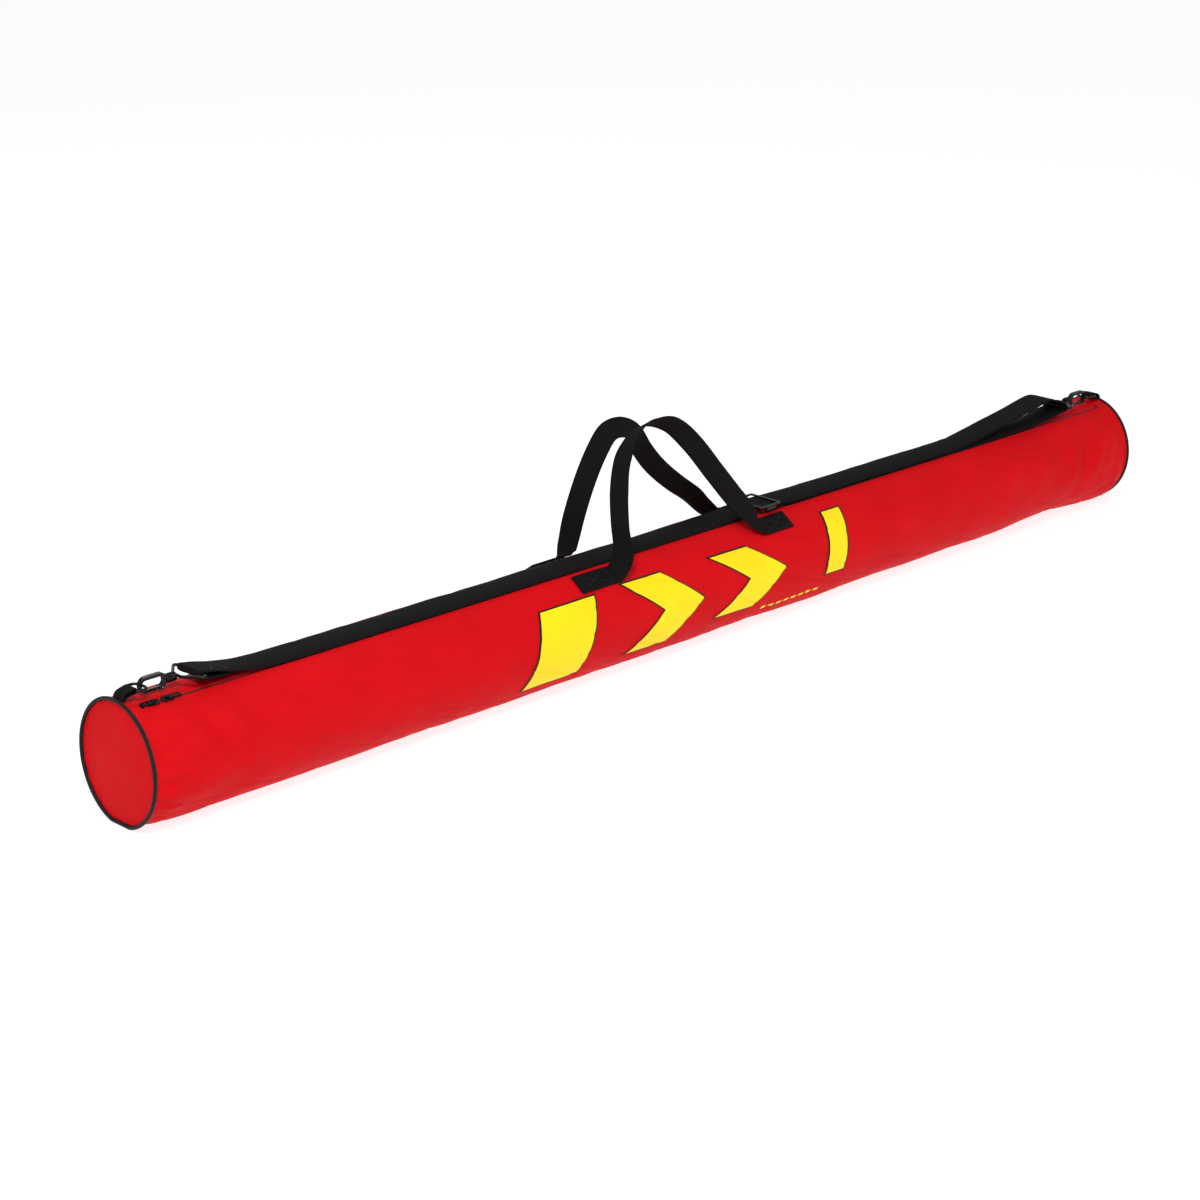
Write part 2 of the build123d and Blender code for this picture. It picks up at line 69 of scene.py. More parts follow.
# --- sizes, in metres -------------------------------------------------------------------
# The tube: half its length, then half width, half height and middle height of its section,
# along the body and at the ends.
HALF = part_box("body_shell")[1].x
BODY_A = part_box("body_shell")[1].y
CLOTH_A = BODY_A - 0.001
BODY_B = 0.0853
BODY_Z = 0.0815
END_A = 0.079
END_B = 0.086
END_Z = 0.086
END_TAPER = 0.030
CLOTH_THICKNESS = 0.0012
FLOOR_CLEARANCE = 0.0007
FLOOR_SOFTNESS = 0.004

# The piping at the ends.
PIPING_LOW, PIPING_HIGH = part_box("left_piping")
PIPING_X = (PIPING_HIGH.x - PIPING_LOW.x) / 2 + HALF
PIPING_RADIUS = 0.0027

# The zip: its place, half the gap that it shows through, its tapes and its teeth.
ZIP_Y = -0.026
ZIP_ANGLE = asin(-ZIP_Y / CLOTH_A)
ZIP_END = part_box("zip_tape_front")[1].x
ZIP_GAP = 0.0014
TAPE_HALF = 0.011
TAPE_DEPTH = -0.0018
COIL_PITCH = 0.0019
TOOTH_TOP = 0.0001
TOOTH_BOTTOM = -0.0013
TOOTH_SINKING = 0.0012

# Webbing and thread.
STRAP_WIDTH = 0.050
STRAP_Y = -0.0055
WEBBING = 0.002
HANDLE_WIDTH = 0.032
STITCH_LIFT = 0.0002

# The handles: the line that each folds about, its lean and where its ends are sewn.
HANDLE_AXIS_Y = 0.058
HANDLE_AXIS_Z = 0.158
HANDLE_LEAN = radians(11.5)
PATCH_ANGLE = asin(0.051 / BODY_A)
SEWN_LEFT = (-0.264, -0.186)
SEWN_RIGHT = (0.116, 0.182)

ALONG_X = Vector((1, 0, 0))
ALONG_Y = Vector((0, 1, 0))
UP = Vector((0, 0, 1))
ENDS = (("left", -1), ("right", 1))
ZIP_SIDES = (("front", 1), ("back", -1))


# --- small mathematics ------------------------------------------------------------------
def mix(a, b, f):
    """a where f is 0, b where f is 1."""
    return a + (b - a) * f


def ease(value, low, high):
    """0 below low, 1 above high, and smooth between them."""
    f = min(max((value - low) / (high - low), 0.0), 1.0)
    return f * f * (3 - 2 * f)


def bump(value, centre, width):
    """1 at the centre, and close to 0 from two widths away."""
    return exp(-(((value - centre) / width) ** 2))


def spaced(low, high, count):
    """Evenly spaced numbers, both ends included."""
    return [low + (high - low) * i / (count - 1) for i in range(count)]


def smooth_route(points, per_span):
    """Catmull-Rom curve through the points, as a list of vectors."""
    knots = [Vector(p) for p in points]
    padded = [2 * knots[0] - knots[1]] + knots + [2 * knots[-1] - knots[-2]]
    route = []
    for before, a, b, after in zip(padded, padded[1:], padded[2:], padded[3:]):
        for step in range(per_span):
            f = step / per_span
            slope = (b - before) * f
            bend = (2 * before - 5 * a + 4 * b - after) * f**2
            twist = (3 * a - before - 3 * b + after) * f**3
            route.append(0.5 * (2 * a + slope + bend + twist))
    route.append(knots[-1])
    return route


# --- materials --------------------------------------------------------------------------
def new_material(name, colour, roughness, metallic=0.0, sheen=0.0, coat=0.0, shine=0.5):
    """Material with one Principled shader. Its tree and shader are for adding nodes."""
    material = bpy.data.materials.new(name)
    material.use_nodes = True
    shader = material.node_tree.nodes["Principled BSDF"]
    shader.inputs["Base Color"].default_value = (*colour, 1)
    shader.inputs["Roughness"].default_value = roughness
    shader.inputs["Metallic"].default_value = metallic
    shader.inputs["Sheen Weight"].default_value = sheen
    shader.inputs["Sheen Roughness"].default_value = 0.45
    shader.inputs["Coat Weight"].default_value = coat
    shader.inputs["Specular IOR Level"].default_value = shine
    return material, material.node_tree, shader


def maths(tree, operation, *values):
    """Output of a maths node whose inputs are numbers or other nodes' outputs."""
    node = tree.nodes.new("ShaderNodeMath")
    node.operation = operation
    for socket, value in zip(node.inputs, values):
        if isinstance(value, (int, float)):
            socket.default_value = value
        else:
            tree.links.new(value, socket)
    return node.outputs[0]


def vary_colour(tree, shader, colour, scale, amount):
    """Cloudy light and dark patches about the base colour. Returns the cloud's node."""
    place = tree.nodes.new("ShaderNodeTexCoord")
    cloud = tree.nodes.new("ShaderNodeTexNoise")
    cloud.inputs["Scale"].default_value = scale
    cloud.inputs["Detail"].default_value = 5
    tree.links.new(place.outputs["Object"], cloud.inputs["Vector"])
    ramp = tree.nodes.new("ShaderNodeMapRange")
    ramp.inputs["To Min"].default_value = 1 - amount
    ramp.inputs["To Max"].default_value = 1 + amount
    tree.links.new(cloud.outputs["Fac"], ramp.inputs["Value"])
    tint = tree.nodes.new("ShaderNodeVectorMath")
    tint.operation = "SCALE"
    tint.inputs[0].default_value = colour
    tree.links.new(ramp.outputs["Result"], tint.inputs["Scale"])
    tree.links.new(tint.outputs["Vector"], shader.inputs["Base Color"])
    return cloud


def woven(name, colour, thread, depth, roughness, sheen=0.0, rib=1.0, shine=0.22):
    """Plain weave from the UV map, whose units are metres of cloth. thread is a warp
    thread's width, rib the weft's width against it, and depth the height of the relief."""
    material, tree, shader = new_material(name, colour, roughness, sheen=sheen, shine=shine)
    cloud = vary_colour(tree, shader, colour, scale=14.0, amount=0.13)
    uv = tree.nodes.new("ShaderNodeUVMap")
    split = tree.nodes.new("ShaderNodeSeparateXYZ")
    tree.links.new(uv.outputs["UV"], split.inputs[0])
    warp = maths(tree, "SINE", maths(tree, "MULTIPLY", split.outputs["X"], pi / thread))
    weft = maths(tree, "SINE", maths(tree, "MULTIPLY", split.outputs["Y"], pi / (thread * rib)))
    cross = maths(tree, "ABSOLUTE", maths(tree, "MULTIPLY", warp, weft))
    height = maths(tree, "ADD", cross, maths(tree, "MULTIPLY", cloud.outputs["Fac"], 0.6))
    relief = tree.nodes.new("ShaderNodeBump")
    relief.inputs["Distance"].default_value = depth
    relief.inputs["Strength"].default_value = 0.55
    tree.links.new(height, relief.inputs["Height"])
    tree.links.new(relief.outputs["Normal"], shader.inputs["Normal"])
    return material


def plated(name, colour, roughness, coat=0.0):
    """Plated metal with fine polishing marks and slightly worn, brighter spots."""
    material, tree, shader = new_material(name, colour, roughness, metallic=1.0, coat=coat)
    grain = vary_colour(tree, shader, colour, scale=260.0, amount=0.35)
    spread = tree.nodes.new("ShaderNodeMapRange")
    spread.inputs["To Min"].default_value = roughness * 0.75
    spread.inputs["To Max"].default_value = roughness * 1.35
    tree.links.new(grain.outputs["Fac"], spread.inputs["Value"])
    tree.links.new(spread.outputs["Result"], shader.inputs["Roughness"])
    relief = tree.nodes.new("ShaderNodeBump")
    relief.inputs["Distance"].default_value = 0.00005
    relief.inputs["Strength"].default_value = 0.3
    tree.links.new(grain.outputs["Fac"], relief.inputs["Height"])
    tree.links.new(relief.outputs["Normal"], shader.inputs["Normal"])
    return material


RED = woven("red_fabric", (0.63, 0.004, 0.008), 0.0009, 0.00030, 0.52, shine=0.04)
BLACK_WEB = woven("black_webbing", (0.007, 0.006, 0.006), 0.0022, 0.0006, 0.72, rib=0.6, shine=0.06)
BLACK_BIND = woven("black_piping", (0.007, 0.007, 0.007), 0.0010, 0.0003, 0.50, shine=0.2)
BLACK_TAPE = woven("zip_tape", (0.008, 0.008, 0.008), 0.0012, 0.0003, 0.60, shine=0.14)
COIL = woven("zip_coil", (0.014, 0.014, 0.016), 0.0012, 0.0001, 0.35, shine=0.5)
YELLOW_INK = woven("yellow_ink", (0.98, 0.74, 0.0), 0.0009, 0.00018, 0.45)
BLACK_INK = woven("black_ink", (0.008, 0.008, 0.008), 0.0009, 0.00018, 0.45)
THREAD = woven("thread", (0.030, 0.030, 0.034), 0.0005, 0.0001, 0.50, sheen=0.05)
RED_THREAD = woven("red_thread", (0.46, 0.008, 0.012), 0.0005, 0.0001, 0.50, sheen=0.05)
GUNMETAL = plated("gunmetal", (0.024, 0.023, 0.025), 0.30, coat=0.1)
BLACK_METAL = plated("black_metal", (0.030, 0.028, 0.030), 0.30, coat=0.3)
STEEL = plated("bright_steel", (0.62, 0.62, 0.63), 0.22)


# --- mesh building ----------------------------------------------------------------------
def new_piece(name, points, faces, uvs, material, body, replaces=(), closed=False):
    """Object from points, faces and one UV for each point, riding on a body. A closed one
    has its faces turned outward."""
    mesh = bpy.data.meshes.new(name)
    mesh.from_pydata([tuple(p) for p in points], [], faces)
    layer = mesh.uv_layers.new(name="cloth")
    for loop in mesh.loops:
        layer.data[loop.index].uv = uvs[loop.vertex_index]
    mesh.polygons.foreach_set("use_smooth", [True] * len(mesh.polygons))
    mesh.materials.append(material)
    if closed:
        work = bmesh.new()
        work.from_mesh(mesh)
        bmesh.ops.recalc_face_normals(work, faces=work.faces)
        work.to_mesh(mesh)
        work.free()
    mesh.update()
    piece = bpy.data.objects.new(name, mesh)
    bpy.context.scene.collection.objects.link(piece)
    if body:
        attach(piece, body)
    if replaces:
        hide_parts(*replaces)
    return piece


def grid_faces(rows, columns, wrap=False, first=0):
    """Quads of a grid of points; wrap joins its last column to its first."""
    faces = []
    for i in range(rows - 1):
        for j in range(columns if wrap else columns - 1):
            k = (j + 1) % columns
            a = first + i * columns
            b = a + columns
            faces.append((a + j, a + k, b + k, b + j))
    return faces


def end_caps(rows, columns, first=0):
    """The two faces that close the first and last row of a wrapped grid."""
    last = first + (rows - 1) * columns
    return [tuple(range(first, first + columns)), tuple(reversed(range(last, last + columns)))]


# A webbing's edge and ribs, each against its own thickness.
EDGE_SHARPNESS = 14
EDGE_THICKNESS = 0.25
RIB_HEIGHT = 0.06
RIBS_PER_WEBBING = 5


def webbing(name, route, across, width, thickness, material, body, replaces=(), sag=None):
    """Flat woven strap along a route, with thin edges and raised ribs. across gives the
    direction of its width at each point, and sag moves a point onto whatever it lies on."""
    columns = 9
    points = []
    uvs = []
    run = 0.0
    for i, centre in enumerate(route):
        ahead = route[min(i + 1, len(route) - 1)] - route[max(i - 1, 0)]
        run += (route[i] - route[i - 1]).length if i else 0.0
        side = across[i].normalized()
        up = side.cross(ahead).normalized()
        for level in (1, -1):
            for j in range(columns):
                v = (2 * j / (columns - 1) - 1) * level
                rim = sqrt(max(1 - abs(v) ** EDGE_SHARPNESS, 0.0))
                ribs = 1 + RIB_HEIGHT * cos(v * pi * RIBS_PER_WEBBING)
                lift = level * thickness / 2 * mix(EDGE_THICKNESS, 1, rim) * ribs
                place = centre + side * (v * width / 2)
                if sag:
                    place = sag(place, centre)
                points.append(place + up * lift)
                uvs.append((run, v * width / 2))
    ring = 2 * columns
    faces = grid_faces(len(route), ring, wrap=True) + end_caps(len(route), ring)
    return new_piece(name, points, faces, uvs, material, body, replaces, closed=True)


def tube(name, route, radius, material, body, closed=False, replaces=(), sides=12):
    """Round bar along a route, which a closed one joins up."""
    points = []
    uvs = []
    run = 0.0
    count = len(route)
    for i, centre in enumerate(route):
        nearby = (route[(i + 1) % count], route[i - 1])
        if not closed:
            nearby = (route[min(i + 1, count - 1)], route[max(i - 1, 0)])
        ahead = (nearby[0] - nearby[1]).normalized()
        side = ahead.cross(ALONG_X)
        if side.length < 0.1:
            side = ahead.cross(UP)
        side.normalize()
        up = side.cross(ahead)
        run += (centre - route[i - 1]).length if i else 0.0
        for j in range(sides):
            turn = 2 * pi * j / sides
            points.append(centre + side * (radius * cos(turn)) + up * (radius * sin(turn)))
            uvs.append((run, radius * turn))
    faces = grid_faces(count, sides, wrap=True)
    if closed:
        last = (count - 1) * sides
        for j in range(sides):
            k = (j + 1) % sides
            faces.append((last + j, last + k, k, j))
    else:
        faces += end_caps(count, sides)
    return new_piece(name, points, faces, uvs, material, body, replaces, closed=True)


# Places along a stitch and the thickness of the thread there, each against the whole.
STITCH_PROFILE = ((-0.5, 0.3), (-0.25, 1.0), (0.25, 1.0), (0.5, 0.3))


def stitches(name, lines, material, body, pitch=0.0036, length=0.0024, radius=0.00035):
    """Rows of single thread stitches, each a small bead. A line is a list of
    (place, outward direction)."""
    rows = len(STITCH_PROFILE)
    sides = 6
    points = []
    faces = []
    uvs = []
    for line in lines:
        travelled = 0.0
        due = pitch / 2
        for (a, out), (b, _) in zip(line, line[1:]):
            span = (b - a).length
            while travelled + span > due and span > 0:
                centre = a + (b - a) * ((due - travelled) / span)
                ahead = (b - a) / span
                side = ahead.cross(out).normalized()
                first = len(points)
                for f, grow in STITCH_PROFILE:
                    for j in range(sides):
                        turn = 2 * pi * j / sides
                        offset = side * cos(turn) + out * sin(turn)
                        points.append(centre + ahead * (f * length) + offset * (radius * grow))
                        uvs.append((f * length, radius * turn))
                faces += grid_faces(rows, sides, wrap=True, first=first)
                faces += end_caps(rows, sides, first)
                due += pitch
            travelled += span
    return new_piece(name, points, faces, uvs, material, body, closed=True)


# --- the bag's surface ------------------------------------------------------------------
# Where the cloth draws in and where it goes slack.
WAIST_X = 0.85
WAIST_WIDTH = 0.10
WAIST_DEPTH = 0.0042
WAIST_RISE = 0.0015
SLACK_RISE = 0.0008

# How high the cloth's wrinkles stand, or how deep they go.
HOLLOW = 0.0022
RIPPLE = 0.0007
CREASE = 0.0013
DENT = 0.0016
GATHER = 0.0030
PINCH = 0.0036
WAVE = 0.0052

# How far from an end seam its wrinkles reach, and how far the seam holds the cloth flat.
GATHER_REACH = 0.055
PINCH_REACH = 0.16
SEAM_REACH = 0.008

# The distance from the end and the depth of each fold over the front near an end.
END_FOLDS = ((0.034, 0.0042), (0.088, 0.0030))
FRONT_ANGLE = radians(72)
FRONT_WIDTH = radians(32)

# Where the handles pull at the cloth, and the angles beside the zip where it turns wrinkled.
HANDLE_PULLS_X = (-0.175, 0.115)
HANDLE_PULLS_ANGLE = (radians(62), radians(298))
FLAT_BY_ZIP = radians(8)
FREE_OF_ZIP = radians(32)


def end_taper(x):
    """0 along the body and 1 at its ends."""
    return ease(abs(x), HALF - END_TAPER, HALF)


def waist(x):
    """1 where the empty cloth draws in near the right end, and 0 away from it."""
    return bump(x, WAIST_X, WAIST_WIDTH) * (1 - end_taper(x))


def section_at(x):
    """Half width, half height and middle height of the bag's section at x. Its top keeps
    one height between the ends, so that the zip runs straight."""
    end = end_taper(x)
    slack = bump(x, -0.45, 0.30) + bump(x, 0.40, 0.25)
    rise = WAIST_RISE * waist(x) + SLACK_RISE * slack
    a = mix(CLOTH_A, END_A, end)
    b = mix(BODY_B, END_B, end) - rise
    z = mix(BODY_Z, END_Z, end) + rise
    return a, b, z


def cloth_noise(x, angle, per_metre, skew, per_radian, layer):
    """Smooth noise over the cloth. skew slants it, and layer tells one noise from another."""
    return noise.noise(Vector((x * per_metre + angle * skew, angle * per_radian, layer)))


def crossing(value, width):
    """1 where the value crosses 0, falling straight to 0 at the width."""
    return max(0.0, width - abs(value)) / width


def end_folds(from_end, angle):
    """Height of the waves and folds that run slanting over the front near each end."""
    height = WAVE * exp(-from_end / PINCH_REACH) * sin(from_end * 75 - angle * 2.6)
    for start, depth in END_FOLDS:
        along = from_end - start - 0.042 * (angle - 0.6)
        height -= depth * (bump(along, 0.0, 0.011) - 0.6 * bump(along, 0.022, 0.012))
    return height * bump(angle, FRONT_ANGLE, FRONT_WIDTH)


def handle_dents(x, angle):
    """1 where a handle's sewn end pulls at the cloth."""
    along = sum(bump(x, place, 0.045) for place in HANDLE_PULLS_X)
    return along * sum(bump(angle, place, radians(12)) for place in HANDLE_PULLS_ANGLE)


def wrinkle(x, angle):
    """Height of the cloth's wrinkles: soft hollows, folds that fan from the end seams, and
    dents where the handles pull. The cloth is flat beside the zip, so that the sliders pass."""
    past_zip = (angle - ZIP_ANGLE) % (2 * pi)
    angle = ZIP_ANGLE + past_zip
    from_end = HALF - abs(x)
    broad = cloth_noise(x, angle, 6.0, 0.0, 1.1, 3.1)
    fine = cloth_noise(x, angle, 24.0, 2.0, 2.2, 8.4)
    crease = crossing(cloth_noise(x, angle, 11.0, -2.4, 0.8, 5.7), 0.30)
    pinch = crossing(cloth_noise(x, angle, 7.0, 1.3, 0.4, 2.3), 0.38)
    gather = noise.noise(Vector((angle * 8.0, x * 5.0, 1.5)))
    height = HOLLOW * broad + RIPPLE * fine - CREASE * crease**3
    height += GATHER * exp(-from_end / GATHER_REACH) * gather
    height -= PINCH * exp(-from_end / PINCH_REACH) * pinch**2
    height += end_folds(from_end, angle)
    height -= DENT * handle_dents(x, angle) + WAIST_DEPTH * waist(x)
    loose = ease(min(past_zip, 2 * pi - past_zip), FLAT_BY_ZIP, FREE_OF_ZIP)
    unheld = 1 - exp(-from_end / SEAM_REACH)
    return height * loose * unheld


def surface(x, angle, stand=0.0):
    """Point of the bag's cloth, or stand above it. The angle runs from the top round to the
    front. What would reach the floor flattens onto it."""
    a, b, z = section_at(x)
    out = stand + wrinkle(x, angle)
    y = -(a + out) * sin(angle)
    height = z + (b + out) * cos(angle)
    floor = FLOOR_CLEARANCE - min(stand, 0)
    near = floor + FLOOR_SOFTNESS
    if height < near:
        height = floor + FLOOR_SOFTNESS * exp((height - near) / FLOOR_SOFTNESS)
    return Vector((x, y, height))


def outward(x, angle):
    """Direction straight out of the bag's cloth, leaving its wrinkles out."""
    a, b, _ = section_at(x)
    return Vector((0, -sin(angle) / a, cos(angle) / b)).normalized()


def top_angle(y):
    """Angle of the cloth at y on the bag's upper half."""
    return asin(-y / BODY_A)


def slot_half_angle(x):
    """Half of the gap that the zip shows through, closing at the zip's ends."""
    return 0.00005 + ZIP_GAP / BODY_A * (1 - ease(abs(x), ZIP_END - 0.012, ZIP_END))


def surface_patch(name, xs, angles, stand, material, body, replaces=()):
    """Sheet at one distance from the bag's cloth."""
    points = [surface(x, angle, stand) for x in xs for angle in angles]
    uvs = [(x, angle * BODY_A) for x in xs for angle in angles]
    faces = grid_faces(len(xs), len(angles))
    return new_piece(name, points, faces, uvs, material, body, replaces)


# Rows of points along the bag, closer together towards its ends.
END_ROWS = [HALF - 0.09 * (1 - f) ** 1.4 for f in spaced(0, 1, 19)]
MIDDLE_ROWS = spaced(-HALF + 0.095, HALF - 0.095, 420)
BODY_ROWS = [-x for x in reversed(END_ROWS)] + MIDDLE_ROWS + END_ROWS


def bag_body():
    """The whole cloth tube, slit along the zip."""
    around = 156
    points = []
    uvs = []
    for x in BODY_ROWS:
        gap = slot_half_angle(x)
        for angle in spaced(ZIP_ANGLE + gap, 2 * pi + ZIP_ANGLE - gap, around):
            points.append(surface(x, angle))
            uvs.append((x, angle * BODY_A))
    faces = grid_faces(len(BODY_ROWS), around)
    return new_piece("bag_body", points, faces, uvs, RED, "bag", ["body_shell"])


body_piece = bag_body()
thicken = body_piece.modifiers.new("cloth", "SOLIDIFY")
thicken.thickness = CLOTH_THICKNESS
thicken.offset = -1.0


# --- end panels and piping --------------------------------------------------------------
PANEL_INSET = 0.0012
PANEL_CROWN = 0.0045
PANEL_RIPPLE = 0.0014
PANEL_GATHER = 0.0012


def end_rim(side, angle, inset):
    """Point on the end's outline, or inset inside it. Its lowest part rests on the floor."""
    y = -(END_A - inset) * sin(angle)
    z = max(END_Z + (END_B - inset) * cos(angle), PIPING_RADIUS + 0.0002)
    return Vector((side * PIPING_X, y, z))


def end_panel(name, side, node):
    """Round end panel, slightly crowned, with puckers at its seam."""
    rings = 28
    spokes = 120
    points = []
    uvs = []
    for i in range(rings):
        f = (i + 0.02) / (rings - 1 + 0.02)
        for j in range(spokes):
            angle = 2 * pi * j / spokes
            rim = end_rim(side, angle, PANEL_INSET)
            centre = Vector((rim.x, 0, END_Z))
            place = centre.lerp(rim, f)
            ripple = noise.noise(Vector((place.y * 22, place.z * 22, side * 4.0)))
            gather = noise.noise(Vector((angle * 7, side * 2.0, f * 2)))
            crown = PANEL_CROWN * (1 - f**2) + PANEL_RIPPLE * ripple * (1 - f**4)
            place.x += side * (crown + PANEL_GATHER * gather * f**6 - PANEL_INSET)
            points.append(place)
            uvs.append((place.y, place.z))
    faces = grid_faces(rings, spokes, wrap=True)
    faces.append(tuple(reversed(range(spokes))))
    if side > 0:
        faces = [tuple(reversed(face)) for face in faces]
    return new_piece(name, points, faces, uvs, RED, "bag", [node])


def piping(name, side, nodes):
    """Piping round one end."""
    route = [end_rim(side, 2 * pi * i / 180, 0.0003) for i in range(180)]
    return tube(
        name, route, PIPING_RADIUS, BLACK_BIND, "bag", closed=True, replaces=nodes
    )


for word, side in ENDS:
    end_panel(f"{word}_panel", side, f"{word}_end_panel")
    piping(f"{word}_welt", side, [f"{word}_piping", f"{word}_piping_cord"])
    seam_x = side * (HALF - 0.0035)
    seam = [(surface(seam_x, t, STITCH_LIFT), outward(seam_x, t)) for t in spaced(0, 2 * pi, 241)]
    stitches(f"{word}_seam_stitches", [seam], RED_THREAD, "bag")

# --- zip --------------------------------------------------------------------------------
ZIP_ROWS = spaced(-ZIP_END, ZIP_END, 260)

# Places across a tooth and half of its length there, from its tip to its root in the tape.
TOOTH_PROFILE = ((-0.0003, 0.00035), (0.0003, 0.0005), (0.0009, 0.0005), (0.0012, 0.0003))


def zip_tape(word, side):
    """Half of the zip's tape, under the cloth's edge."""
    inner = ZIP_ANGLE + side * 0.0004 / BODY_A
    outer = ZIP_ANGLE + side * TAPE_HALF / BODY_A
    name = f"zip_tape_{word}_cloth"
    angles = spaced(min(inner, outer), max(inner, outer), 8)
    nodes = [f"zip_tape_{word}"]
    surface_patch(name, ZIP_ROWS, angles, TAPE_DEPTH, BLACK_TAPE, "bag", nodes)


def coil(name, side, node):
    """Row of coil teeth along one edge of the zip, lower where the cloth closes over it."""
    points = []
    faces = []
    uvs = []
    count = int(2 * ZIP_END / COIL_PITCH)
    for i in range(count):
        x = -ZIP_END + COIL_PITCH * (i + 0.5 + side * 0.25)
        first = len(points)
        top = TOOTH_TOP - TOOTH_SINKING * ease(abs(x), ZIP_END - 0.013, ZIP_END - 0.006)
        for reach, half in TOOTH_PROFILE:
            angle = ZIP_ANGLE + side * reach / BODY_A
            shoulder = half * 0.6
            outline = ((-half, TOOTH_BOTTOM), (-shoulder, top), (shoulder, top), (half, TOOTH_BOTTOM))
            for dx, rise in outline:
                points.append(surface(x + dx, angle, rise))
                uvs.append((x + dx, angle * BODY_A))
        faces += grid_faces(len(TOOTH_PROFILE), len(outline), wrap=True, first=first)
        faces += end_caps(len(TOOTH_PROFILE), len(outline), first)
    return new_piece(name, points, faces, uvs, COIL, "bag", [node], closed=True)


def zip_topstitch(word, side):
    """Stitches that hold the cloth's edge to the tape."""
    angle = ZIP_ANGLE + side * (ZIP_GAP + 0.0028) / BODY_A
    row = [(surface(x, angle, STITCH_LIFT), outward(x, angle)) for x in ZIP_ROWS]
    stitches(f"zip_{word}_topstitch", [row], RED_THREAD, "bag")


for word, side in ZIP_SIDES:
    zip_tape(word, side)
for word, side in ZIP_SIDES:
    coil(f"zip_teeth_{word}", side, f"zip_coil_{word}")
for word, side in ZIP_SIDES:
    zip_topstitch(word, side)


# --- hardware ---------------------------------------------------------------------------
BARREL_RADIUS = 0.0056
BARREL_RIBS = 4
BARREL_RIB_PITCH = 0.0032
BARREL_RIB_RADIUS = 0.0009


def dress(node, material, edge):
    """Gives a metal piece from the CAD its finish and softened edges."""
    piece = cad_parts[node]
    piece.data.materials.clear()
    piece.data.materials.append(material)
    rounding = piece.modifiers.new("soft_edges", "BEVEL")
    rounding.width = edge
    rounding.segments = 3
    rounding.limit_method = "ANGLE"


def barrel_ribs(word, side):
    """Rings round the barrel of a hook, by its swivel."""
    low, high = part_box(f"{word}_hook")
    axis = (low + high) / 2
    inner = high.x if side < 0 else low.x
    for i in range(BARREL_RIBS):
        x = inner + side * (0.0025 + BARREL_RIB_PITCH * i)
        ring = []
        for j in range(32):
            turn = 2 * pi * j / 32
            y = axis.y + BARREL_RADIUS * cos(turn)
            z = axis.z + BARREL_RADIUS * sin(turn)
            ring.append(Vector((x, y, z)))
        name = f"{word}_barrel_rib_{i}"
        tube(name, ring, BARREL_RIB_RADIUS, GUNMETAL, f"{word}_hook", closed=True)


for word, side in ENDS:
    dress(f"{word}_d_ring", GUNMETAL, 0.0002)
    dress(f"{word}_swivel_eye", GUNMETAL, 0.0002)
    dress(f"{word}_hook", GUNMETAL, 0.0011)
    dress(f"{word}_gate", BLACK_METAL, 0.0006)
    dress(f"{word}_gate_pin", STEEL, 0.0002)
    dress(f"{word}_gate_spring", STEEL, 0.0001)
    barrel_ribs(word, side)

for node in ("zip_slider_left", "zip_slider_right", "zip_pull_left", "zip_pull_right"):
    dress(node, BLACK_METAL, 0.0003)
dress("zip_end_stops", BLACK_METAL, 0.0003)
dress("strap_slide", GUNMETAL, 0.0009)
dress("strap_slide_bar", GUNMETAL, 0.0006)


# --- end tabs ---------------------------------------------------------------------------
RING_BAR_X = 1.003
TAB_GRIP = 0.0034
TAB_THICKNESS = 0.0018


def end_tab(word, side):
    """Webbing from the end seam, round the ring's bar and back to the seam."""
    ring_low, ring_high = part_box(f"{word}_d_ring")
    tab_low, tab_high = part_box(f"{word}_end_tab")
    bar_x = side * RING_BAR_X
    bar_z = (ring_low.z + ring_high.z) / 2
    seam_x = side * (PIPING_X - 0.004)
    y = (tab_low.y + tab_high.y) / 2
    loop = [(seam_x, y, 0.1725), (seam_x - side * 0.004, y, 0.1762)]
    for turn in spaced(radians(-15), radians(195), 14):
        loop.append((bar_x - side * TAB_GRIP * sin(turn), y, bar_z - TAB_GRIP * cos(turn)))
    loop += [(seam_x - side * 0.003, y, 0.1815), (seam_x + side * 0.0025, y, 0.1745)]
    route = smooth_route(loop, 4)
    webbing(
        f"{word}_tab_webbing",
        route,
        [ALONG_Y] * len(route),
        tab_high.y - tab_low.y,
        TAB_THICKNESS,
        BLACK_WEB,
        "bag",
        [f"{word}_end_tab"],
    )


for word, side in ENDS:
    end_tab(word, side)


# --- shoulder strap ---------------------------------------------------------------------
EYE_LOW, EYE_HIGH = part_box("right_swivel_eye")
EYE_X = EYE_LOW.x + 0.0022
EYE_Z = (EYE_LOW.z + EYE_HIGH.z) / 2
SLIDE_LOW, SLIDE_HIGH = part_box("strap_slide")
SLIDE_X = (SLIDE_LOW.x + SLIDE_HIGH.x) / 2
FOLD = 0.0038
SEAM_OUT = -0.889
SEAM_IN = -0.864
SEAM_HALF = 0.0185

# Heights of the strap's lower layer on the bag, and of its upper layer on the lower one.
LIE_LOW = 0.1692
LIE_HIGH = 0.1717


def fold_round_bar(side):
    """Half turn of the strap round the bar of the swivel's eye, from below."""
    return [
        (side * (EYE_X + FOLD * sin(t)), 0, EYE_Z - FOLD * cos(t))
        for t in spaced(0, pi, 9)
    ]


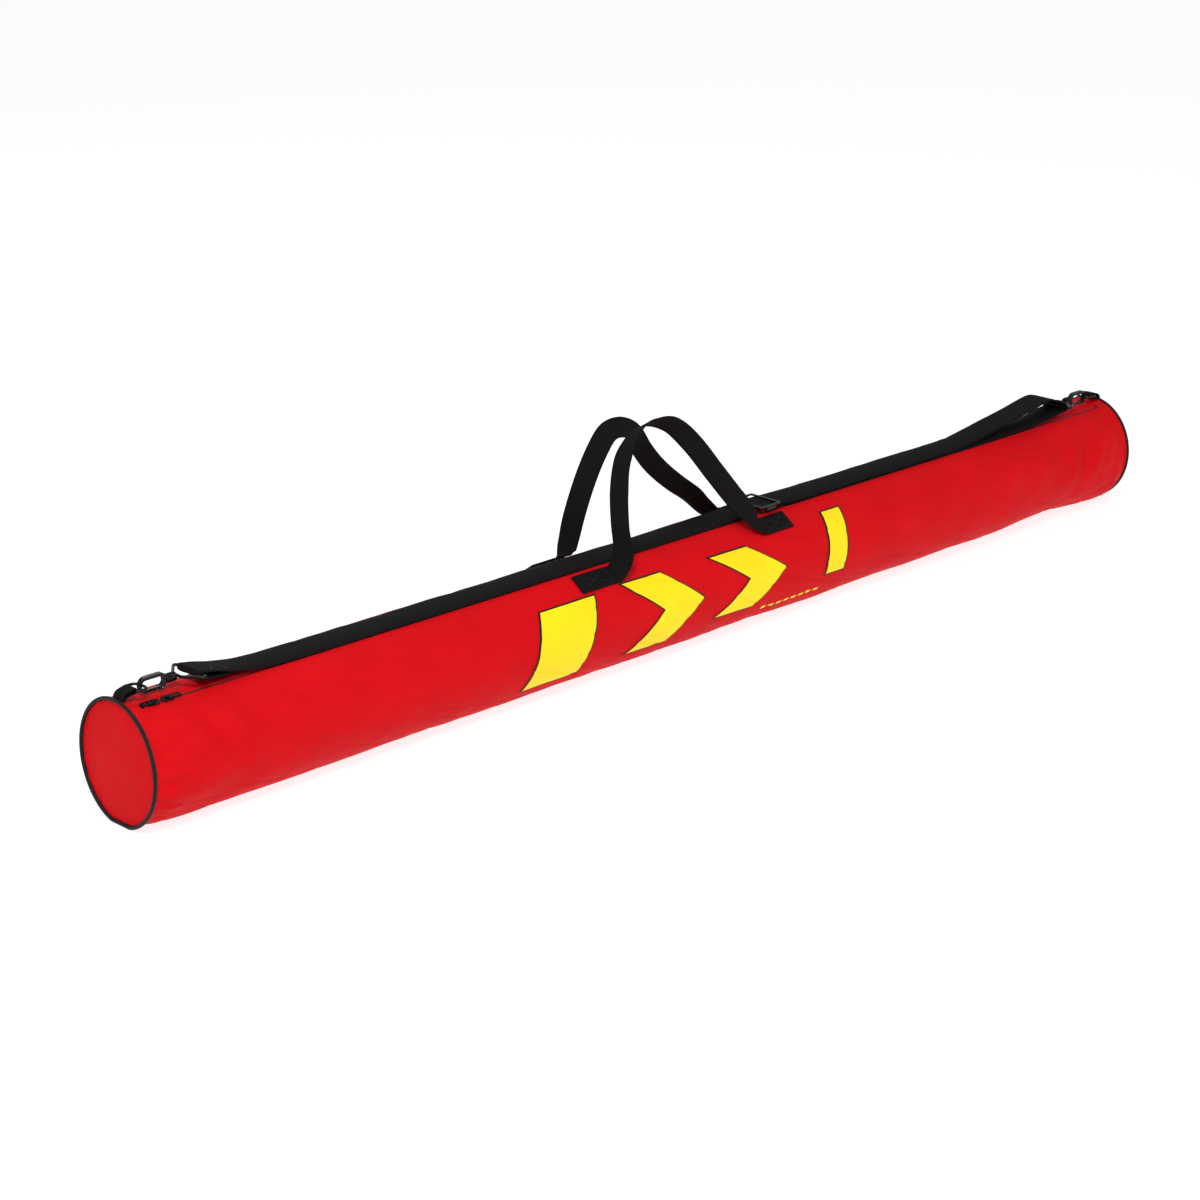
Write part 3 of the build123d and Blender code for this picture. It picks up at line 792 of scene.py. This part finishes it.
def strap_sag(place, middle):
    """Lets the strap's edges fall onto the bag where its middle lies on the bag, but not
    where it is lifted or held flat by metal."""
    flat = max(ease(middle.z, LIE_HIGH + 0.001, LIE_HIGH + 0.012), bump(place.x, SLIDE_X, 0.045))
    _, b, z = section_at(place.x)
    crest = z + b
    fall = crest - surface(place.x, top_angle(place.y)).z
    return place - Vector((0, 0, fall * (1 - flat)))


# From the left fold's lower end, over the bag to the right fold, and back under to the slide.
STRAP_POINTS = [(-0.862, 0, 0.1762), (-0.888, 0, 0.1770)]
STRAP_POINTS += fold_round_bar(-1)
STRAP_POINTS += [
    (-0.890, 0, 0.1828),
    (-0.860, 0, 0.1778),
    (-0.810, 0, 0.1722),
    (-0.750, 0, LIE_LOW + 0.0004),
    (-0.620, 0, LIE_LOW),
    (-0.400, 0, LIE_LOW),
    (0.060, 0, LIE_LOW),
    (0.120, 0, LIE_HIGH),
    (0.200, 0, LIE_HIGH),
    (0.560, 0, LIE_HIGH),
    (0.640, 0, 0.1738),
    (0.720, 0, 0.1815),
    (0.790, 0, 0.1910),
    (0.860, 0, 0.2020),
    (0.889, 0, 0.1955),
]
STRAP_POINTS += list(reversed(fold_round_bar(1)))
STRAP_POINTS += [
    (0.885, 0, 0.1772),
    (0.850, 0, 0.1738),
    (0.780, 0, 0.1705),
    (0.700, 0, LIE_LOW - 0.0002),
    (0.600, 0, LIE_LOW - 0.0002),
    (0.200, 0, LIE_LOW - 0.0002),
    (0.166, 0, LIE_LOW),
]
strap_route = [p + Vector((0, STRAP_Y, 0)) for p in smooth_route(STRAP_POINTS, 14)]
webbing(
    "shoulder_strap_webbing",
    strap_route,
    [ALONG_Y] * len(strap_route),
    STRAP_WIDTH,
    WEBBING,
    BLACK_WEB,
    "bag",
    ["shoulder_strap_left", "shoulder_strap_middle", "shoulder_strap_right"],
    strap_sag,
)


def strap_face(x, y):
    """Point on the upper face of the strap's top layer near its left end, y from its middle."""
    for a, b in zip(strap_route, strap_route[1:]):
        if a.x < b.x and a.x <= x <= b.x:
            middle = a.lerp(b, (x - a.x) / (b.x - a.x))
            place = strap_sag(middle + Vector((0, y, 0)), middle)
            return place + UP * (WEBBING * 0.53 + STITCH_LIFT)


# Three lines across the strap and a cross between the outer two.
fold_seam = []
for f in (0.0, 0.85, 1.0):
    x = mix(SEAM_OUT, SEAM_IN, f)
    fold_seam.append([(strap_face(x, y), UP) for y in spaced(-SEAM_HALF, SEAM_HALF, 20)])
for turn in (-1, 1):
    diagonal = []
    for f in spaced(0, 1, 20):
        x = mix(SEAM_OUT, SEAM_IN, f)
        y = turn * mix(-SEAM_HALF, SEAM_HALF, f)
        diagonal.append((strap_face(x, y), UP))
    fold_seam.append(diagonal)
stitches("strap_fold_stitches", fold_seam, THREAD, "bag")


# --- carrying handles -------------------------------------------------------------------
HANDLE_STAND = WEBBING / 2 + 0.0006
BOX_STITCH_STAND = 0.0029
KEY_STEPS = 10


def handle_place(side, x, height):
    """Point of a handle's loop: height is measured up its leaning plane from the fold line."""
    y = side * (HANDLE_AXIS_Y - height * sin(HANDLE_LEAN))
    return Vector((x, y, HANDLE_AXIS_Z + height * cos(HANDLE_LEAN)))


def handle_keys(side, arch):
    """Points and twists, in degrees, of a handle's middle line: sewn end, arch, sewn end."""

    def lie(x, more=0.0):
        return surface(x, -side * PATCH_ANGLE, HANDLE_STAND + more)

    left_out, left_in = SEWN_LEFT
    right_in, right_out = SEWN_RIGHT
    start_turn = -side * 35
    end_turn = start_turn + side * 180
    keys = [(lie(x), start_turn) for x in spaced(left_out, left_in - 0.012, 6)]
    keys += [(lie(left_in - 0.002, 0.004), mix(start_turn, arch[0][2], 0.45))]
    keys += [(handle_place(side, x, height), turn) for x, height, turn in arch]
    keys += [(lie(right_in + 0.002, 0.004), end_turn)]
    keys += [(lie(x), end_turn) for x in spaced(right_in + 0.012, right_out, 6)]
    return keys


def twisted_across(route, turns, per_span):
    """Direction of a webbing's width at each point of a route, turned smoothly between keys."""
    across = []
    for i in range(len(route)):
        low = min(i // per_span, len(turns) - 2)
        turn = radians(mix(turns[low], turns[low + 1], ease(i / per_span - low, 0, 1)))
        ahead = (route[min(i + 1, len(route) - 1)] - route[max(i - 1, 0)]).normalized()
        level = (ALONG_Y - ahead * ahead.y).normalized()
        across.append(level * cos(turn) + ahead.cross(level) * sin(turn))
    return across


def box_stitches(name, side):
    """A box with a cross in it on each sewn end of a handle."""
    reach = side * HANDLE_WIDTH * 0.40 / BODY_A
    up_edge = -side * PATCH_ANGLE - reach
    down_edge = -side * PATCH_ANGLE + reach
    left_span = (SEWN_LEFT[0] + 0.004, SEWN_LEFT[1] - 0.016)
    right_span = (SEWN_RIGHT[0] + 0.016, SEWN_RIGHT[1] - 0.004)
    lines = []
    for low, high in (left_span, right_span):
        a, b, c, d = (low, up_edge), (high, up_edge), (high, down_edge), (low, down_edge)
        for (x0, t0), (x1, t1) in ((a, b), (b, c), (c, d), (d, a), (a, c), (b, d)):
            line = []
            for f in spaced(0, 1, 12):
                x = mix(x0, x1, f)
                t = mix(t0, t1, f)
                line.append((surface(x, t, BOX_STITCH_STAND), outward(x, t)))
            lines.append(line)
    stitches(name, lines, THREAD, "bag")


def handle(word, side, arch):
    """One webbing from sewn end to sewn end, flat on the bag and then up over the arch."""
    body = f"{word}_handle"
    keys = handle_keys(side, arch)
    route = smooth_route([place for place, _ in keys], KEY_STEPS)
    across = twisted_across(route, [turn for _, turn in keys], KEY_STEPS)
    piece = webbing(
        f"{body}_webbing",
        route,
        across,
        HANDLE_WIDTH,
        WEBBING,
        BLACK_WEB,
        None,
        [f"{body}_loop", f"{body}_left_end", f"{body}_right_end"],
    )
    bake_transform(piece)
    box_stitches(f"{body}_webbing_box_stitches", side)


# Each arch is a list of x, height up the leaning plane and twist in degrees.
FRONT_ARCH = [
    (-0.174, 0.020, 22),
    (-0.173, 0.060, 10),
    (-0.166, 0.108, 10),
    (-0.151, 0.152, 2),
    (-0.122, 0.185, -18),
    (-0.086, 0.196, -34),
    (-0.044, 0.185, -48),
    (-0.006, 0.149, -60),
    (0.032, 0.098, -66),
    (0.070, 0.048, -75),
    (0.098, 0.018, -108),
]
BACK_ARCH = [
    (-0.180, 0.012, 20),
    (-0.175, 0.060, 40),
    (-0.163, 0.115, 42),
    (-0.147, 0.158, 42),
    (-0.129, 0.183, 46),
    (-0.098, 0.183, 62),
    (-0.072, 0.165, 90),
    (-0.050, 0.136, 108),
    (-0.016, 0.102, 118),
    (0.030, 0.066, 122),
    (0.074, 0.036, 128),
    (0.100, 0.014, 140),
]
handle("front", -1, FRONT_ARCH)
handle("back", 1, BACK_ARCH)


# --- printed shapes on the front --------------------------------------------------------
EDGE_WIDTH = 0.003
EDGE_STAND = 0.0006
FACE_STAND = 0.0011


def printed_band(name, start, width, lean, point, top, bottom, grow, stand, material):
    """Slanted bar, or a chevron where point isn't 0, printed on the front. top and bottom
    are its angles in degrees, and grow widens it all round."""
    edge = grow / BODY_A
    margin = grow * 1.2
    rows = spaced(0, 1, 70)
    columns = spaced(0, 1, 40)
    points = []
    uvs = []
    for f in rows:
        angle = mix(radians(top) - edge, radians(bottom) + edge, f)
        inside = (angle - radians(top)) / radians(bottom - top)
        shift = point * (1 - abs(2 * inside - 1)) - lean * inside
        for g in columns:
            x = start + shift - margin + (width + 2 * margin) * g
            points.append(surface(x, angle, stand))
            uvs.append((x, angle * BODY_A))
    faces = [tuple(reversed(face)) for face in grid_faces(len(rows), len(columns))]
    return new_piece(name, points, faces, uvs, material, "bag")


# Start, width, lean, point, and top and bottom angle of each band.
BANDS = (
    (-0.352, 0.105, 0.040, 0.0, 50, 126),
    (-0.190, 0.080, 0.0, 0.070, 48, 122),
    (-0.008, 0.080, 0.0, 0.070, 50, 114),
    (0.252, 0.040, 0.016, 0.0, 40, 106),
)
for number, band in enumerate(BANDS, 1):
    printed_band(f"print_edge_{number}", *band, EDGE_WIDTH, EDGE_STAND, BLACK_INK)
    printed_band(f"print_face_{number}", *band, 0.0, FACE_STAND, YELLOW_INK)
for number in range(8):
    dash = (0.100 + 0.017 * number, 0.011, 0.001, 0.0, 122, 125)
    printed_band(f"print_dash_{number}", *dash, 0.0, EDGE_STAND, YELLOW_INK)


# --- floor and light --------------------------------------------------------------------
FAR = 30
FLOOR_CORNERS = [(-FAR, -FAR, 0), (FAR, -FAR, 0), (FAR, FAR, 0), (-FAR, FAR, 0)]
WHITE = (1, 1, 1, 1)

floor_mesh = bpy.data.meshes.new("floor")
floor_mesh.from_pydata(FLOOR_CORNERS, [], [(0, 1, 2, 3)])
floor = bpy.data.objects.new("floor", floor_mesh)
bpy.context.scene.collection.objects.link(floor)
floor_finish, _, floor_shader = new_material("floor", (0.30, 0.30, 0.30), 0.9, shine=0.0)
floor_shader.inputs["Emission Color"].default_value = WHITE
floor_shader.inputs["Emission Strength"].default_value = 0.82
floor_mesh.materials.append(floor_finish)

world = bpy.data.worlds.new("studio")
world.use_nodes = True
world.node_tree.nodes["Background"].inputs["Color"].default_value = WHITE
world.node_tree.nodes["Background"].inputs["Strength"].default_value = 0.46
bpy.context.scene.world = world


def softbox(name, place, target, size, power):
    """Square soft light that faces its target."""
    data = bpy.data.lights.new(name, "AREA")
    data.size = size
    data.energy = power
    lamp = bpy.data.objects.new(name, data)
    lamp.location = place
    lamp.rotation_euler = (Vector(target) - Vector(place)).to_track_quat("-Z", "Y").to_euler()
    bpy.context.scene.collection.objects.link(lamp)


softbox("key", (-2.5, -2.0, 3.2), (0, 0, 0.1), 1.2, 115)
softbox("fill", (2.5, -3.2, 1.8), (0.2, 0, 0.1), 2.0, 24)
softbox("back", (0.5, 3.0, 2.6), (0, 0, 0.1), 2.0, 25)
bpy.context.scene.view_settings.view_transform = "Standard"
